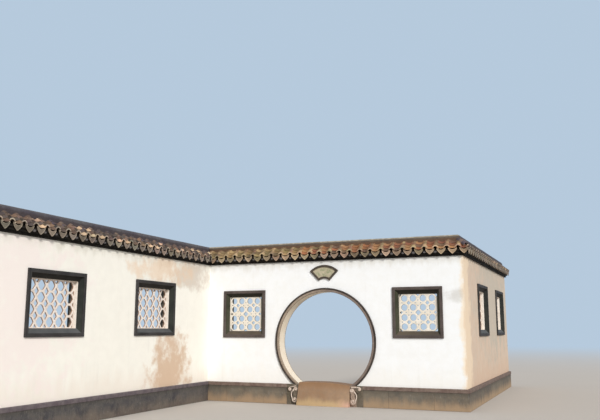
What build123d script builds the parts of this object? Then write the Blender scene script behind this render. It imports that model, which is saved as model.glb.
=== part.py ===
from build123d import *
import os
from math import cos, floor, radians, sin, sqrt

os.makedirs("parts", exist_ok=True)

# A whitewashed garden wall with a moon gate. Lengths are in millimetres.
# X runs to the right along the front wall, Y runs away from the viewer, Z is up,
# and the origin is on the ground below the middle of the gate.
# The wing wall runs from the front wall's left corner towards the viewer, and the
# return wall runs from its right corner away from the viewer.

# Walls. Piers stand between the gate's bay and the front windows, and ends
# between the last window of a wall and its corner or open end.
wall_thickness = 280
wall_top = 3100
gate_margin = 135
front_left_pier = 134
front_right_pier = 234
front_left_end = 404
front_right_end = 439
side_end = 745

# Plinth
plinth_height = 430
plinth_projection = 45
plinth_band = 80
plinth_band_projection = 12
plinth_chamfer = 10

# Moon gate
gate_centre_z = 1340
passage_radius = 1080
lining_thickness = 55
ring_width = 85
ring_roll = 52
ring_projection = 40
ring_step = 12

# Threshold and foot stones. Volutes are given by how far they stand from the
# threshold's side, their height and their radius.
threshold_crown = 66
threshold_fall = 14
threshold_left_rise = 44
apron_run = 150
foot_clearance = 8.4
foot_width = 280
foot_relief = 44
low_volute = (76, 106, 72)
high_volute = (60, 334, 56)
outer_curl = (186, 352, 54)
scroll_bar = 44
scroll_waist = 42

# Fan plaque
fan_centre_z = 2530
fan_outer = 480
fan_inner = 180
fan_half_angle = 44
fan_border = 45
fan_projection = 35
fan_panel_projection = 12

# Windows
front_window_width = 1062
front_window_height = 1060
front_window_sill = 1424
side_window_width = 1400
side_window_height = 1110
wing_window_sill = 1480
first_wing_window = -2180
return_window_height = 1170
return_window_sill = 1455
first_return_window = 2385
bay = 2890
frame_side = 127
frame_head = 145
frame_band = 65
frame_projection = 35
frame_step = 14
frame_splay = 58
frame_depth = 60
front_tracery_depth = 64
side_tracery_depth = 127
tracery_thickness = 26
tracery_bar = 28
tracery_columns = 5
tracery_rows = 4
hexagon_flat = 0.42

# Pierced pattern of the front windows
eye_radius = 69
eye_near = 105
eye_far = 293
bud_half = 38
heart_half = 60
notch_half = 40
corner_half = 58
side_bud_half = 27
side_bud_inset = 42

# Coping
eave_step_projection = 42
eave_step_height = 45
eave_overhang = 160
eave_soffit_rise = 10
eave_edge = 35
bed_height = 225
ridge_half = 95
ridge_upright = 78
ridge_height = 145
coping_end = 60
roll_foot = 62
roll_height = 44
roll_root = 20
roll_set_back = 14
front_roll = -65
front_roll_pitch = 233.8
wing_roll = 277
return_roll = 677
side_roll_pitch = 253.3

half = wall_thickness / 2
eave_top = wall_top + 2 * eave_step_height
bed_top = eave_top + bed_height

# Where the passage meets the plinth's top, the foot stones begin beside it.
landing = sqrt(passage_radius**2 - (gate_centre_z - plinth_height) ** 2)
foot_inner = landing + foot_clearance
foot_outer = foot_inner + foot_width

# The front windows follow the gate's bay, and the corners follow the windows.
gate_bay_half = passage_radius + ring_width + gate_margin
front_left_window = -(gate_bay_half + front_left_pier + front_window_width / 2)
front_right_window = gate_bay_half + front_right_pier + front_window_width / 2
front_left = front_window_width / 2 + front_left_end - front_left_window
front_right = front_window_width / 2 + front_right_end + front_right_window
wing_length = bay + side_window_width / 2 + side_end - first_wing_window
return_length = bay + side_window_width / 2 + side_end + first_return_window

# Reference planes. On each face, local x runs to the right, local y is up
# and the normal points out of the wall towards the viewer.
front_face = Plane(origin=(0, 0, 0), x_dir=(1, 0, 0), z_dir=(0, -1, 0))
back_face = Plane(origin=(0, wall_thickness, 0), x_dir=(-1, 0, 0), z_dir=(0, 1, 0))
wing_face = Plane(origin=(-front_left, 0, 0), x_dir=(0, 1, 0), z_dir=(1, 0, 0))
return_face = Plane(origin=(front_right, 0, 0), x_dir=(0, 1, 0), z_dir=(1, 0, 0))
left_mitre = Plane(origin=(-front_left - half, half, 0), z_dir=(1, 1, 0))
right_mitre = Plane(origin=(front_right - half, half, 0), z_dir=(1, 1, 0))


def save(piece, name):
    piece.label = name
    export_step(piece, "parts/" + name + ".step")


# Masonry of the walls, each with its window openings

def wall(name, face, start, end, windows):
    with BuildPart() as masonry:
        with BuildSketch(face):
            with Locations(((start + end) / 2, (plinth_height + wall_top) / 2)):
                Rectangle(end - start, wall_top - plinth_height)
            for centre, sill, width, height in windows:
                with Locations((centre, sill + height / 2)):
                    Rectangle(width, height, mode=Mode.SUBTRACT)
        extrude(amount=-wall_thickness)
    save(masonry.part, name)


front_size = (front_window_sill, front_window_width, front_window_height)
wing_size = (wing_window_sill, side_window_width, side_window_height)
return_size = (return_window_sill, side_window_width, return_window_height)
wing_windows = [first_wing_window - bay * step for step in range(2)]
return_windows = [first_return_window + bay * step for step in range(2)]

wall("wall_front_left", front_face, -front_left, -gate_bay_half, [(front_left_window, *front_size)])
wall("wall_front_right", front_face, gate_bay_half, front_right, [(front_right_window, *front_size)])
wall("wall_wing", wing_face, -wing_length, wall_thickness, [(y, *wing_size) for y in wing_windows])
wall("wall_return", return_face, wall_thickness, return_length, [(y, *return_size) for y in return_windows])

with BuildPart() as gate_wall:
    with BuildSketch(front_face):
        with Locations((0, (plinth_height + wall_top) / 2)):
            Rectangle(2 * gate_bay_half, wall_top - plinth_height)
        with Locations((0, gate_centre_z)):
            Circle(passage_radius + lining_thickness, mode=Mode.SUBTRACT)
    extrude(amount=-wall_thickness)
save(gate_wall.part, "wall_gate_bay")


# Runs that follow a wall at constant section: plinths and coping courses.
# Each is drawn about the wall's middle line and mitred where two walls meet.

def plinth_section():
    base = half + plinth_projection
    band = base + plinth_band_projection
    band_low = plinth_height - plinth_band
    with BuildSketch(mode=Mode.PRIVATE) as section:
        with Locations((0, band_low / 2)):
            Rectangle(2 * base, band_low)
        with BuildLine():
            Polyline(
                (-band, band_low),
                (band, band_low),
                (band, plinth_height - plinth_chamfer),
                (band - plinth_chamfer, plinth_height),
                (plinth_chamfer - band, plinth_height),
                (-band, plinth_height - plinth_chamfer),
                close=True,
            )
        make_face()
    return section.sketch


def eave_section():
    with BuildSketch(mode=Mode.PRIVATE) as section:
        for step in (0, 1):
            with Locations((0, wall_top + (step + 0.5) * eave_step_height)):
                Rectangle(2 * (half + (step + 1) * eave_step_projection), eave_step_height)
    return section.sketch


def bed_section():
    eave = half + eave_overhang
    soffit = half + 2 * eave_step_projection
    edge_low = eave_top + eave_soffit_rise
    with BuildSketch(mode=Mode.PRIVATE) as section:
        with BuildLine():
            Polyline(
                (-soffit, eave_top),
                (soffit, eave_top),
                (eave, edge_low),
                (eave, edge_low + eave_edge),
                (ridge_half, bed_top),
                (-ridge_half, bed_top),
                (-eave, edge_low + eave_edge),
                (-eave, edge_low),
                close=True,
            )
        make_face()
    return section.sketch


def ridge_section():
    with BuildSketch(mode=Mode.PRIVATE) as section:
        with BuildLine():
            Line((-ridge_half, bed_top), (ridge_half, bed_top))
            Line((ridge_half, bed_top), (ridge_half, bed_top + ridge_upright))
            ThreePointArc(
                (ridge_half, bed_top + ridge_upright),
                (0, bed_top + ridge_height),
                (-ridge_half, bed_top + ridge_upright),
            )
            Line((-ridge_half, bed_top + ridge_upright), (-ridge_half, bed_top))
        make_face()
    return section.sketch


def roll_places(first, pitch, length):
    # Where cover rolls stand along a run, without those that its ends would cut.
    before = floor((first - roll_foot) / pitch)
    after = floor((length - roll_foot - first) / pitch)
    return [first + pitch * step for step in range(-before, after + 1)]


def cover_rolls(start, places):
    # Rows of cover tiles up both slopes, as low rolls that end against the ridge.
    across, up, along = start.x_dir, start.y_dir, start.z_dir
    eave = half + eave_overhang
    eave_z = eave_top + eave_soffit_rise + eave_edge
    outline = [
        (-roll_foot, -roll_root),
        (roll_foot, -roll_root),
        (roll_foot, 0),
        (0, roll_height),
        (-roll_foot, 0),
    ]
    uphill = up * (bed_top - eave_z) - across * (eave - ridge_half)
    foot = start.origin + across * eave + up * eave_z
    lower_end = start.origin + across * (eave - roll_set_back)
    upper_end = start.origin + across * ridge_half
    with BuildPart() as rolls:
        with BuildSketch(Plane(origin=foot, x_dir=along, z_dir=uphill)):
            with Locations([(place, 0) for place in places]):
                Polygon(*outline, align=None)
        extrude(amount=uphill.length + 2 * roll_root)
        split(bisect_by=Plane(origin=lower_end, z_dir=across), keep=Keep.BOTTOM)
        split(bisect_by=Plane(origin=upper_end, z_dir=across), keep=Keep.TOP)
        mirror(about=Plane(origin=start.origin, z_dir=across))
    return rolls.part


def front_run(name, section, start=None, end=None, first_roll=None):
    spare = half + eave_overhang + plinth_projection
    low = -front_left - half - spare if start is None else start
    high = front_right - half + spare if end is None else end
    start_plane = Plane(origin=(low, half, 0), x_dir=(0, 1, 0), z_dir=(1, 0, 0))
    with BuildPart() as run:
        with BuildSketch(start_plane):
            add(section)
        extrude(amount=high - low)
        if first_roll is not None:
            add(cover_rolls(start_plane, roll_places(first_roll - low, front_roll_pitch, high - low)))
        if start is None:
            split(bisect_by=left_mitre, keep=Keep.TOP)
        if end is None:
            split(bisect_by=right_mitre, keep=Keep.BOTTOM)
    save(run.part, name)


def side_run(name, section, middle, start, end, mitre, keep, first_roll):
    start_plane = Plane(origin=(middle, start, 0), x_dir=(-1, 0, 0), z_dir=(0, 1, 0))
    with BuildPart() as run:
        with BuildSketch(start_plane):
            add(section)
        extrude(amount=end - start)
        if first_roll is not None:
            add(cover_rolls(start_plane, roll_places(first_roll, side_roll_pitch, end - start)))
        split(bisect_by=mitre, keep=keep)
    save(run.part, name)


def wing_run(name, section, beyond, first_roll=None):
    spare = wall_thickness + eave_overhang + plinth_projection
    side_run(name, section, -front_left - half, -wing_length - beyond, spare, left_mitre, Keep.BOTTOM, first_roll)


def return_run(name, section, beyond, first_roll=None):
    spare = eave_overhang + plinth_projection
    if first_roll is not None:
        first_roll += spare
    end = return_length + beyond
    side_run(name, section, front_right - half, -spare, end, right_mitre, Keep.TOP, first_roll)


front_run("plinth_front_left", plinth_section(), end=-foot_outer)
front_run("plinth_front_right", plinth_section(), start=foot_outer)
wing_run("plinth_wing", plinth_section(), plinth_projection)
return_run("plinth_return", plinth_section(), plinth_projection)

for course, section in (("eave_course", eave_section()), ("ridge", ridge_section())):
    front_run(course + "_front", section)
    wing_run(course + "_wing", section, coping_end)
    return_run(course + "_return", section, coping_end)

front_run("tile_bed_front", bed_section(), first_roll=front_roll)
wing_run("tile_bed_wing", bed_section(), coping_end, wing_roll)
return_run("tile_bed_return", bed_section(), coping_end, return_roll)


# Stone lining of the round passage, standing on the foot stones

with BuildPart() as lining:
    with BuildSketch(front_face):
        with Locations((0, gate_centre_z)):
            Circle(passage_radius + lining_thickness)
            Circle(passage_radius, mode=Mode.SUBTRACT)
        with Locations((0, plinth_height)):
            Rectangle(4 * passage_radius, 4 * passage_radius, align=(Align.CENTER, Align.MIN), mode=Mode.INTERSECT)
    extrude(amount=-wall_thickness)
save(lining.part, "moon_lining")


# Moulded ring on each face: a raised flat outer band and a lower inner band

def moon_ring(name, face):
    outward = face.z_dir
    middle = face.origin + Vector(0, 0, gate_centre_z)
    outer = passage_radius + ring_width
    with BuildPart() as ring:
        with BuildSketch(Plane(origin=middle, x_dir=(0, 0, 1), z_dir=outward.cross(Vector(0, 0, 1)))):
            with BuildLine():
                Polyline(
                    (passage_radius, 0),
                    (outer, 0),
                    (outer, -ring_projection),
                    (passage_radius + ring_roll, -ring_projection),
                    (passage_radius + ring_roll, -ring_projection + ring_step),
                    (passage_radius, -ring_projection + ring_step),
                    close=True,
                )
            make_face()
        revolve(axis=Axis(middle, outward), revolution_arc=360)
        split(bisect_by=Plane(origin=(0, 0, plinth_height), z_dir=(0, 0, 1)), keep=Keep.TOP)
    save(ring.part, name)


moon_ring("moon_ring_front", front_face)
moon_ring("moon_ring_back", back_face)


# Foot stones beside the passage, with a scroll standing proud of each face

def foot_stone(name, side):
    relief_face = half + plinth_projection + plinth_band_projection
    low = side * (foot_inner + low_volute[0])
    high = side * (foot_inner + high_volute[0])
    bar = outer_curl[0] - high_volute[0] / 2
    with BuildPart() as stone:
        with BuildSketch(Plane.XY):
            with Locations((side * (foot_inner + foot_width / 2), half)):
                Rectangle(foot_width, 2 * relief_face)
        extrude(amount=plinth_height)
        with BuildSketch(Plane(origin=(0, half - relief_face, 0), x_dir=(1, 0, 0), z_dir=(0, -1, 0))):
            for reach, height, radius in (low_volute, high_volute, outer_curl):
                with Locations((side * (foot_inner + reach), height)):
                    RegularPolygon(radius, 14)
            with Locations((side * (foot_inner + outer_curl[0] - bar / 2), plinth_height - scroll_bar / 2)):
                Rectangle(bar, scroll_bar)
            with BuildLine():
                Polyline(
                    (low - scroll_waist, low_volute[1]),
                    (low + scroll_waist, low_volute[1]),
                    (high + scroll_waist, high_volute[1]),
                    (high - scroll_waist, high_volute[1]),
                    close=True,
                )
            make_face()
        extrude(amount=foot_relief)
        mirror(about=Plane(origin=(0, half, 0), z_dir=(0, 1, 0)))
    save(stone.part, name)


foot_stone("foot_stone_left", -1)
foot_stone("foot_stone_right", 1)


# Threshold: a low hump over the wall line with a steep apron on either side.
# It stands higher on the left, where the foot stone meets the ring.

with BuildPart() as threshold:
    brow = half + plinth_projection
    brow_z = plinth_height + threshold_crown - threshold_fall
    with BuildSketch(Plane(origin=(-foot_inner, half, 0), x_dir=(0, 1, 0), z_dir=(1, 0, 0))):
        with BuildLine():
            Line((-brow - apron_run, 0), (brow + apron_run, 0))
            Line((brow + apron_run, 0), (brow, brow_z))
            ThreePointArc((brow, brow_z), (0, brow_z + threshold_fall), (-brow, brow_z))
            Line((-brow, brow_z), (-brow - apron_run, 0))
        make_face()
    extrude(amount=2 * foot_inner)
    with BuildSketch(Plane(origin=(0, half + brow + apron_run, 0), x_dir=(1, 0, 0), z_dir=(0, -1, 0))):
        with BuildLine():
            Polyline(
                (-landing, plinth_height + threshold_left_rise),
                (-landing, plinth_height),
                (-foot_inner, plinth_height),
                (-foot_inner, 0),
                (foot_inner, 0),
                (foot_inner, plinth_height),
                (landing, plinth_height),
            )
            ThreePointArc(
                (landing, plinth_height),
                (0, brow_z),
                (-landing, plinth_height + threshold_left_rise),
            )
        make_face()
    extrude(amount=2 * (brow + apron_run), mode=Mode.INTERSECT)
save(threshold.part, "threshold")


# Fan shaped plaque above the gate: a raised border round a plain stone leaf

def fan_sector(inset):
    # The sector's sides are moved in by the inset along their normals.
    with BuildSketch(mode=Mode.PRIVATE) as sector:
        Circle(fan_outer - inset)
        Circle(fan_inner + inset, mode=Mode.SUBTRACT)
        reach = 2 * fan_outer
        tip = inset / sin(radians(fan_half_angle))
        spread = reach * sin(radians(fan_half_angle))
        rise = reach * cos(radians(fan_half_angle))
        with BuildLine():
            Polyline((0, tip), (spread, tip + rise), (-spread, tip + rise), close=True)
        make_face(mode=Mode.INTERSECT)
    return sector.sketch


fan_plane = front_face.offset(0)
fan_plane.origin = Vector(0, 0, fan_centre_z)

with BuildPart() as fan_frame:
    with BuildSketch(fan_plane):
        add(fan_sector(0))
        add(fan_sector(fan_border), mode=Mode.SUBTRACT)
    extrude(amount=fan_projection)
save(fan_frame.part, "fan_plaque_frame")

with BuildPart() as fan_panel:
    with BuildSketch(fan_plane):
        add(fan_sector(fan_border))
    extrude(amount=fan_panel_projection)
save(fan_panel.part, "fan_plaque_panel")


# Window frames, one on each face: a raised outer band and a band splayed inwards

def splayed_opening(plane, band, inner):
    # It narrows from the raised band's inside edge to the splay's inside edge.
    inward = plane.z_dir * -1
    with BuildPart() as opening:
        for across, wide, narrow, mode in (
            (plane.x_dir, band[0] / 2, inner[0] / 2, Mode.ADD),
            (plane.y_dir, band[1] / 2, inner[1] / 2, Mode.INTERSECT),
        ):
            with BuildSketch(Plane(origin=plane.origin, x_dir=across, z_dir=across.cross(inward))):
                with BuildLine():
                    Polyline(
                        (-wide, -frame_projection),
                        (wide, -frame_projection),
                        (wide, -frame_step),
                        (narrow, frame_splay - frame_step),
                        (narrow, frame_depth),
                        (-narrow, frame_depth),
                        (-narrow, frame_splay - frame_step),
                        (-wide, -frame_step),
                        close=True,
                    )
                make_face()
            extrude(amount=band[0] + band[1], both=True, mode=mode)
    return opening.part


def window_frame(name, plane, width, height):
    band = (width - 2 * frame_band, height - 2 * frame_band)
    inner = (width - 2 * frame_side, height - 2 * frame_head)
    with BuildPart() as frame:
        with BuildSketch(plane.offset(-frame_depth)):
            Rectangle(width, height)
        extrude(amount=frame_depth + frame_projection)
        add(splayed_opening(plane, band, inner), mode=Mode.SUBTRACT)
    save(frame.part, name)


# Pierced panels between the two frames, with a deep rim round thin tracery

def hexagon_holes(width, height):
    # Tall hexagons touch at their side points, with diamonds between them.
    cell_x = width / tracery_columns
    cell_y = height / tracery_rows
    flat = hexagon_flat * cell_x / 2
    with BuildSketch(mode=Mode.PRIVATE) as hexagon:
        with BuildLine():
            Polyline(
                (-cell_x / 2, 0),
                (-flat, -cell_y / 2),
                (flat, -cell_y / 2),
                (cell_x / 2, 0),
                (flat, cell_y / 2),
                (-flat, cell_y / 2),
                close=True,
            )
        make_face()
        offset(amount=-tracery_bar / 2, kind=Kind.INTERSECTION, mode=Mode.REPLACE)
    with BuildSketch(mode=Mode.PRIVATE) as diamond:
        with BuildLine():
            Polyline(
                (flat - cell_x / 2, 0),
                (0, -cell_y / 2),
                (cell_x / 2 - flat, 0),
                (0, cell_y / 2),
                close=True,
            )
        make_face()
        offset(amount=-tracery_bar / 2, kind=Kind.INTERSECTION, mode=Mode.REPLACE)
    with BuildSketch(mode=Mode.PRIVATE) as holes:
        with GridLocations(cell_x, cell_y, tracery_columns, tracery_rows):
            add(hexagon.sketch)
        with GridLocations(cell_x, cell_y, tracery_columns + 1, tracery_rows + 1):
            add(diamond.sketch)
        Rectangle(width, height, mode=Mode.INTERSECT)
    return holes.sketch


def lozenge(half_diagonal):
    # A square hole standing on its corner
    return RegularPolygon(half_diagonal, 4, rotation=0)


def eye_holes(width, height):
    # Four groups of four six-sided eyes, with a bud in each group and a heart between them.
    group = (eye_near + eye_far) / 2
    with BuildSketch(mode=Mode.PRIVATE) as holes:
        with GridLocations(2 * group, 2 * group, 2, 2):
            with GridLocations(eye_far - eye_near, eye_far - eye_near, 2, 2):
                RegularPolygon(eye_radius, 6, rotation=30)
            lozenge(bud_half)
        lozenge(heart_half)
        with GridLocations(0, height, 1, 2):
            lozenge(notch_half)
        with GridLocations(width - 2 * side_bud_inset, 0, 2, 1):
            lozenge(side_bud_half)
        with GridLocations(width, height, 2, 2):
            lozenge(corner_half)
        Rectangle(width, height, mode=Mode.INTERSECT)
    return holes.sketch


def window_panel(name, plane, width, height, depth, holes):
    # The tracery's front stands at the given depth behind the wall's face.
    inner_width = width - 2 * frame_side
    inner_height = height - 2 * frame_head
    with BuildPart() as panel:
        with BuildSketch(plane.offset(-frame_depth)):
            Rectangle(width, height)
        extrude(amount=2 * frame_depth - wall_thickness)
        with BuildSketch(plane.offset(-depth)):
            Rectangle(inner_width, inner_height)
        extrude(amount=depth, mode=Mode.SUBTRACT)
        with BuildSketch(plane.offset(-depth - tracery_thickness)):
            Rectangle(inner_width, inner_height)
        extrude(amount=-wall_thickness, mode=Mode.SUBTRACT)
        with BuildSketch(plane):
            add(holes(inner_width, inner_height))
        extrude(amount=-wall_thickness, mode=Mode.SUBTRACT)
    save(panel.part, name)


def window(place, face, centre, size, depth, holes):
    sill, width, height = size
    front = Plane(face.location * Location((centre, sill + height / 2, 0)))
    back = Plane(front.location * Location((0, 0, -wall_thickness), (0, 180, 0)))
    window_frame("window_frame_" + place, front, width, height)
    window_frame("window_frame_" + place + "_back", back, width, height)
    window_panel("window_panel_" + place, front, width, height, depth, holes)


window("front_left", front_face, front_left_window, front_size, front_tracery_depth, eye_holes)
window("front_right", front_face, front_right_window, front_size, front_tracery_depth, eye_holes)
for number, centre in enumerate(wing_windows, start=1):
    window("wing_" + str(number), wing_face, centre, wing_size, side_tracery_depth, hexagon_holes)
for number, centre in enumerate(return_windows, start=1):
    window("return_" + str(number), return_face, centre, return_size, side_tracery_depth, hexagon_holes)
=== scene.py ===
import math
import random

import bmesh
import bpy
from mathutils import Matrix, Vector, noise


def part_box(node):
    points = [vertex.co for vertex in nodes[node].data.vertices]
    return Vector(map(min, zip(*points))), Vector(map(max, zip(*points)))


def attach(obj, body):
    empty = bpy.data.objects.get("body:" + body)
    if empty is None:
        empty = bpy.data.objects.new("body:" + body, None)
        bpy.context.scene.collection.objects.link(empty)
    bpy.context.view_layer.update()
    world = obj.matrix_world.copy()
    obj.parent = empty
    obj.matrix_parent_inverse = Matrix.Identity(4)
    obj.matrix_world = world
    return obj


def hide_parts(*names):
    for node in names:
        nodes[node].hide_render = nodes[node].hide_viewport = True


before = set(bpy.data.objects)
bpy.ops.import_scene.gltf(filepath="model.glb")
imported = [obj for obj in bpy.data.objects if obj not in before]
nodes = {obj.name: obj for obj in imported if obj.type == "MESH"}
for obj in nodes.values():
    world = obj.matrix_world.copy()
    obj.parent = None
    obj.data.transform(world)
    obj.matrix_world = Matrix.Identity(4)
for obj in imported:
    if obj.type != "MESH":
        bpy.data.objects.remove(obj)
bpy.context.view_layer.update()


def nodeBox(name):
    return [Vector(corner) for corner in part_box(name)]


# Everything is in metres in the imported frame: X along the front wall, Y away
# from the viewer, Z up, and the origin on the ground below the moon gate.

camera = {"place": (5.572, -14.469, 1.609), "turn": 23.038, "rise": 9.649, "lens": 42.08}

plan = {
    "halfWall": 0.14,
    "frontLine": 0.14,  # Y of the front wall's middle line
    "wingLine": -3.04,  # X of the wing wall's middle line
    "returnLine": 2.895,  # X of the return wall's middle line
    "wingEnd": -6.575,
    "returnEnd": 6.78,
    "ringHigh": 1.34,  # Z of the moon opening's middle
}


# Materials: small helpers for node trees

class Tree:
    def __init__(self, owner):
        self.nodes = owner.nodes
        self.links = owner.links

    def add(self, kind, values=None, **settings):
        node = self.nodes.new(kind)
        for name, value in settings.items():
            setattr(node, name, value)
        for name, value in (values or {}).items():
            self.feed(node.inputs[name], value)
        return node

    def feed(self, socket, value):
        if isinstance(value, bpy.types.NodeSocket):
            self.links.new(value, socket)
        elif isinstance(value, tuple) and len(value) == 3 and socket.type == "RGBA":
            socket.default_value = (*value, 1)
        else:
            socket.default_value = value

    def noise(self, scale, detail=3.0, rough=0.55, warp=0.0, stretch=None):
        at = self.vector("MULTIPLY", self.coords, stretch) if stretch else self.coords
        values = {"Vector": at, "Scale": scale, "Detail": detail, "Roughness": rough, "Distortion": warp}
        return self.add("ShaderNodeTexNoise", values).outputs["Fac"]

    def ramp(self, value, low, high, start=0.0, end=1.0):
        values = {"Value": value, "From Min": low, "From Max": high, "To Min": start, "To Max": end}
        return self.add("ShaderNodeMapRange", values, interpolation_type="SMOOTHSTEP").outputs["Result"]

    def math(self, kind, a, b=0.0):
        return self.add("ShaderNodeMath", {0: a, 1: b}, operation=kind).outputs[0]

    def times(self, a, b):
        return self.math("MULTIPLY", a, b)

    def mix(self, factor, a, b):
        return self.add("ShaderNodeMix", {"Factor": factor, 6: a, 7: b}, data_type="RGBA").outputs[2]

    def vector(self, kind, a, b=(0, 0, 0)):
        made = self.add("ShaderNodeVectorMath", {0: a, 1: b}, operation=kind).outputs
        return made["Value" if kind in ("LENGTH", "DOT_PRODUCT") else "Vector"]

    def axis(self, name, source=None):
        values = {"Vector": self.coords if source is None else source}
        return self.add("ShaderNodeSeparateXYZ", values).outputs[name]

    def facing(self):
        return self.add("ShaderNodeNewGeometry").outputs["Normal"]


class Effect(Tree):
    # A shared node group that reads coordinates and plain numbers, and puts out masks.

    def __init__(self, name, **numbers):
        self.group = bpy.data.node_groups.new(name, "ShaderNodeTree")
        super().__init__(self.group)
        self.socket("Coords", "INPUT", "NodeSocketVector")
        for label, value in numbers.items():
            self.socket(label, "INPUT").default_value = value
        self.given = self.add("NodeGroupInput").outputs
        self.coords = self.given["Coords"]

    def socket(self, label, side, kind="NodeSocketFloat"):
        return self.group.interface.new_socket(label, in_out=side, socket_type=kind)

    def give(self, **masks):
        for label in masks:
            self.socket(label, "OUTPUT")
        self.add("NodeGroupOutput", masks)
        return self.group


def makePatina():
    # Broad patches, mid blotches and fine grain in one place, for any stone or plaster.
    tree = Effect("patina", Patch=1.2, Grain=40.0)
    broad = tree.noise(tree.given["Patch"], 4.0, 0.6, 0.4)
    middle = tree.noise(tree.times(tree.given["Patch"], 5.5), 4.0, 0.6, 0.2)
    fine = tree.noise(tree.given["Grain"], 3.0, 0.65)
    return tree.give(
        Patches=tree.ramp(broad, 0.32, 0.68),
        Blotches=tree.ramp(middle, 0.35, 0.68),
        Grain=tree.ramp(fine, 0.3, 0.7),
    )


def makeHeightStain():
    # A stain that is strongest at one height and fades to another, with a ragged edge.
    tree = Effect("heightStain", Strong=0.4, Gone=0.8, Ragged=0.15)
    wander = tree.math("SUBTRACT", tree.noise(2.0, 5.0, 0.65, stretch=(2.2, 2.2, 0.5)), 0.5)
    shift = tree.times(tree.times(wander, tree.given["Ragged"]), 4.0)
    height = tree.math("ADD", tree.axis("Z"), shift)
    return tree.give(Mask=tree.ramp(height, tree.given["Gone"], tree.given["Strong"]))


def makeRuns():
    # Thin vertical runs of dirty water.
    tree = Effect("waterRuns", Density=7.0)
    narrow = tree.noise(tree.given["Density"], 4.0, 0.6, stretch=(1.0, 1.0, 0.06))
    broad = tree.noise(1.1, 2.0)
    return tree.give(Mask=tree.times(tree.ramp(narrow, 0.52, 0.74), tree.ramp(broad, 0.4, 0.65)))


def makeWornEdges():
    # Where a rounded normal leaves the true one, an edge is worn paler.
    tree = Effect("wornEdges", Patchiness=6.0)
    rounded = tree.add("ShaderNodeBevel", {"Radius": 0.012}, samples=4).outputs["Normal"]
    edge = tree.ramp(tree.vector("DOT_PRODUCT", rounded, tree.facing()), 0.99, 0.86)
    broken = tree.ramp(tree.noise(tree.given["Patchiness"], 4.0, 0.7), 0.35, 0.6)
    return tree.give(Mask=tree.times(edge, broken))


def makeJoints():
    # Thin joints between slabs in courses, counted along the run and up.
    tree = Effect("slabJoints", Length=0.9, Height=0.35)
    along = tree.math("ADD", tree.math("ADD", tree.axis("X"), tree.axis("Y")), 20.0)
    flat = tree.add("ShaderNodeCombineXYZ", {"X": along, "Y": tree.axis("Z")}).outputs[0]
    bricks = tree.add("ShaderNodeTexBrick", {
        "Vector": flat, "Color1": (0.0, 0.0, 0.0), "Color2": (1.0, 1.0, 1.0), "Mortar": (0.5, 0.5, 0.5),
        "Scale": 1.0, "Mortar Size": 0.0035, "Mortar Smooth": 0.4, "Bias": 0.0,
        "Brick Width": tree.given["Length"], "Row Height": tree.given["Height"],
    }, offset=0.5)
    return tree.give(Joint=bricks.outputs["Fac"], Slab=bricks.outputs["Color"])


patina = makePatina()
heightStain = makeHeightStain()
waterRuns = makeRuns()
wornEdges = makeWornEdges()
slabJoints = makeJoints()
print("shared effects made:", len(bpy.data.node_groups))


class Finish(Tree):
    # One material: its Principled shader, its patina, and the tone that is built up layer by layer.

    def __init__(self, name, roughness, patch=None, grain=None, *tones):
        self.material = bpy.data.materials.new(name)
        self.material.use_nodes = True
        super().__init__(self.material.node_tree)
        self.shader = self.nodes["Principled BSDF"].inputs
        self.shader["Roughness"].default_value = roughness
        self.shader["Specular IOR Level"].default_value = 0.25
        self.coords = self.add("ShaderNodeTexCoord").outputs["Object"]
        self.normal = None
        if patch:
            self.aged = self.effect(patina, Patch=patch, Grain=grain)
        if tones:
            self.tone = self.mottled(*tones)

    def effect(self, group, **numbers):
        made = self.add("ShaderNodeGroup", {"Coords": self.coords, **numbers}, node_tree=group).outputs
        return made if len(made) > 1 else made[0]

    def mottled(self, first, second):
        return self.mix(self.aged["Patches"], first, second)

    def tint(self, mask, strength, colour):
        # A mask is a socket, or the name of one of the patina's.
        mask = self.aged[mask] if isinstance(mask, str) else mask
        self.tone = self.mix(self.times(mask, strength), self.tone, colour)

    def wear(self, patchiness, strength, colour):
        self.tint(self.effect(wornEdges, Patchiness=patchiness), strength, colour)

    def bump(self, height, distance, strength):
        values = {"Height": height, "Distance": distance, "Strength": strength}
        if self.normal is not None:
            values["Normal"] = self.normal
        self.normal = self.add("ShaderNodeBump", values).outputs["Normal"]

    def jointed(self, joint, strength, colour, distance, cut):
        self.tint(joint, strength, colour)
        self.bump(self.math("SUBTRACT", 1.0, joint), distance, cut)

    def away(self, middle, reach):
        # How far a point lies from a middle, counted in reaches along each axis.
        offset = self.vector("SUBTRACT", self.coords, middle)
        return self.vector("LENGTH", self.vector("DIVIDE", offset, reach))

    def done(self, grain, blotches=None, rough=None):
        # Grain and blotches are the depth and strength of a bump, and rough the range of roughness.
        for mask, relief in (("Blotches", blotches), ("Grain", grain)):
            if relief:
                self.bump(self.aged[mask], *relief)
        self.feed(self.shader["Normal"], self.normal)
        self.feed(self.shader["Base Color"], self.tone)
        if rough:
            self.feed(self.shader["Roughness"], self.ramp(self.aged["Grain"], 0.0, 1.0, *rough))
        return self.material


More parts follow.
